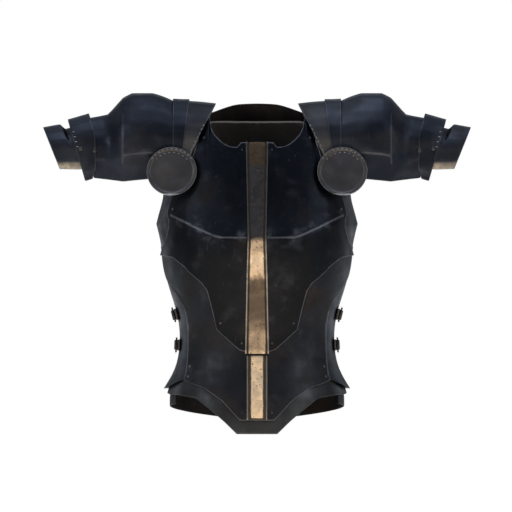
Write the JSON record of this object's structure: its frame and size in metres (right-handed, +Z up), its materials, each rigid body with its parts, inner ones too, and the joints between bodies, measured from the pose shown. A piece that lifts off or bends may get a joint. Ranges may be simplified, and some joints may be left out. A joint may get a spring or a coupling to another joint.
{
  "type": "plate armour cuirass with pauldrons",
  "caption": "Dark blued-steel plate armour for the upper body: creased breastplate with a brass middle band, belly plate, backplate, shoulder caps, arm lames and armpit discs, shaped as worn.",
  "frame": {"origin": "base of the neck, in the middle of the neck opening, where the shoulders carry the armour", "axes": "+Z up, the front faces -Y, +X to the viewer's right (the wearer's left)"},
  "size_m": [0.8558, 0.3074, 0.6807],
  "materials": {
    "blued_steel": "dark blued, satin, worn at the edges",
    "worn_steel": "dark grey, satin, worn at the edges",
    "disc_steel": "dark grey-brown, satin",
    "dark_inside": "black-brown, dull",
    "aged_brass": "aged, pitted, darker in its upper length",
    "dark_leather": "dark brown-black, waxed"
  },
  "bodies": {
    "cuirass": {"breastplate": "blued_steel", "belly_plate": "worn_steel", "hem_strip": "worn_steel", "backplate": "blued_steel", "back_collar": "blued_steel", "culet": "dark_inside", "band_upper": "aged_brass", "band_lower": "aged_brass", "shoulder_strap_r": "worn_steel", "shoulder_strap_l": "worn_steel", "shoulder_lame_r": "blued_steel", "shoulder_lame_l": "blued_steel", "pauldron_r": "blued_steel", "pauldron_l": "blued_steel", "band_rivet_front_r": "worn_steel", "band_rivet_front_l": "worn_steel", "band_rivet_back_r": "worn_steel", "band_rivet_back_l": "worn_steel", "besagew_r": "disc_steel", "besagew_l": "disc_steel", "side_strap_upper_r": "dark_leather", "side_strap_upper_l": "dark_leather", "side_strap_lower_r": "dark_leather", "side_strap_lower_l": "dark_leather", "buckle_upper_r": "worn_steel", "buckle_upper_l": "worn_steel", "buckle_lower_r": "worn_steel", "buckle_lower_l": "worn_steel"},
    "arm_band_right": {"arm_band_r": "blued_steel", "cuff_rivet_front_r": "worn_steel", "cuff_rivet_back_r": "worn_steel"},
    "arm_band_left": {"arm_band_l": "blued_steel", "cuff_rivet_front_l": "worn_steel", "cuff_rivet_back_l": "worn_steel"},
    "arm_cuff_right": {"arm_cuff_r": "blued_steel"},
    "arm_cuff_left": {"arm_cuff_l": "blued_steel"}
  },
  "joints": [
    {"name": "band_turn_r", "type": "hinge", "parent": "cuirass", "child": "arm_band_right", "pos_m": [0.324, 0, -0.062], "axis": [0, 1, 0], "range_deg": [-5, 10]},
    {"name": "band_turn_l", "type": "hinge", "parent": "cuirass", "child": "arm_band_left", "pos_m": [-0.324, 0, -0.062], "axis": [0, -1, 0], "range_deg": [-5, 10]},
    {"name": "cuff_turn_r", "type": "hinge", "parent": "arm_band_right", "child": "arm_cuff_right", "pos_m": [0.352, 0, -0.058], "axis": [0, 1, 0], "range_deg": [-5, 10]},
    {"name": "cuff_turn_l", "type": "hinge", "parent": "arm_band_left", "child": "arm_cuff_left", "pos_m": [-0.352, 0, -0.058], "axis": [0, -1, 0], "range_deg": [-5, 10]}
  ]
}
